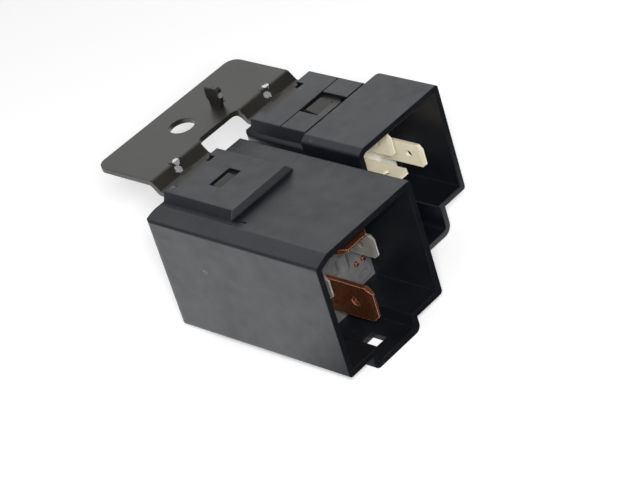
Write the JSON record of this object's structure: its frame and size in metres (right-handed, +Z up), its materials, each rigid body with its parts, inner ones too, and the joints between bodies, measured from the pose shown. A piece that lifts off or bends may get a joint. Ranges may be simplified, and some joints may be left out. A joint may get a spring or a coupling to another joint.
{
  "type": "automotive relay",
  "caption": "Pair of skirted automotive relays, a large power relay and a smaller changeover relay, side by side on one joggled steel bracket with a mounting hole.",
  "frame": {"origin": "centre of the bounding box at its lowest level, under the key channel of the larger relay", "axes": "+X from the mounting plate toward the open terminal skirts, +Y from the larger to the smaller relay, +Z up toward the bracket side"},
  "size_m": [0.0764, 0.0656, 0.045],
  "materials": {
    "bracket_paint": "semi-gloss black paint, chipped at the bends",
    "front_housing": "satin charcoal",
    "rear_housing": "satin charcoal",
    "front_base_plastic": "satin grey",
    "rear_base_plastic": "satin cream",
    "copper_blade": "bright bare copper",
    "front_tin_blade": "tinned, dulled",
    "rear_tin_blade": "tinned, warm",
    "bobbin_plastic": "natural nylon",
    "winding_copper": "enamelled wire",
    "magnet_iron": "zinc plated",
    "leaf_bronze": "spring bronze",
    "contact_silver": "silver alloy",
    "spring_steel": "bright wire",
    "pigtail_copper": "bare braid"
  },
  "bodies": {
    "root": {"bracket": "bracket_paint", "front_cover": "front_housing", "front_base": "front_base_plastic", "front_terminal_30": "copper_blade", "front_terminal_87": "copper_blade", "front_terminal_85": "front_tin_blade", "front_terminal_86": "front_tin_blade", "front_bobbin": "bobbin_plastic", "front_winding": "winding_copper", "front_core": "magnet_iron", "front_yoke": "magnet_iron", "front_fixed_contact": "contact_silver", "front_return_spring": "spring_steel", "front_pigtail": "pigtail_copper", "rear_cover": "rear_housing", "rear_base": "rear_base_plastic", "rear_terminal_30": "rear_tin_blade", "rear_terminal_87": "rear_tin_blade", "rear_terminal_87a": "rear_tin_blade", "rear_terminal_85": "rear_tin_blade", "rear_terminal_86": "rear_tin_blade", "rear_bobbin": "bobbin_plastic", "rear_winding": "winding_copper", "rear_core": "magnet_iron", "rear_yoke": "magnet_iron", "rear_contact_no": "contact_silver", "rear_contact_nc": "contact_silver", "rear_return_spring": "spring_steel", "rear_pigtail": "pigtail_copper"},
    "front_armature": {"front_armature": "magnet_iron", "front_contact_leaf": "leaf_bronze", "front_moving_contact": "contact_silver"},
    "rear_armature": {"rear_armature": "magnet_iron", "rear_contact_leaf": "leaf_bronze", "rear_moving_contact": "contact_silver"}
  },
  "joints": [
    {"name": "front_armature_hinge", "type": "hinge", "parent": "root", "child": "front_armature", "pos_m": [-0.00845, -0.0158, 0.007], "axis": [0, 1, 0], "range_deg": [0, 3.6], "stiffness_Nm_per_rad": 0.02, "springref_deg": -5.73},
    {"name": "rear_armature_hinge", "type": "hinge", "parent": "root", "child": "rear_armature", "pos_m": [-0.01075, 0.01785, 0.0326], "axis": [0, -1, 0], "range_deg": [0, 3], "stiffness_Nm_per_rad": 0.015, "springref_deg": -5.73}
  ]
}
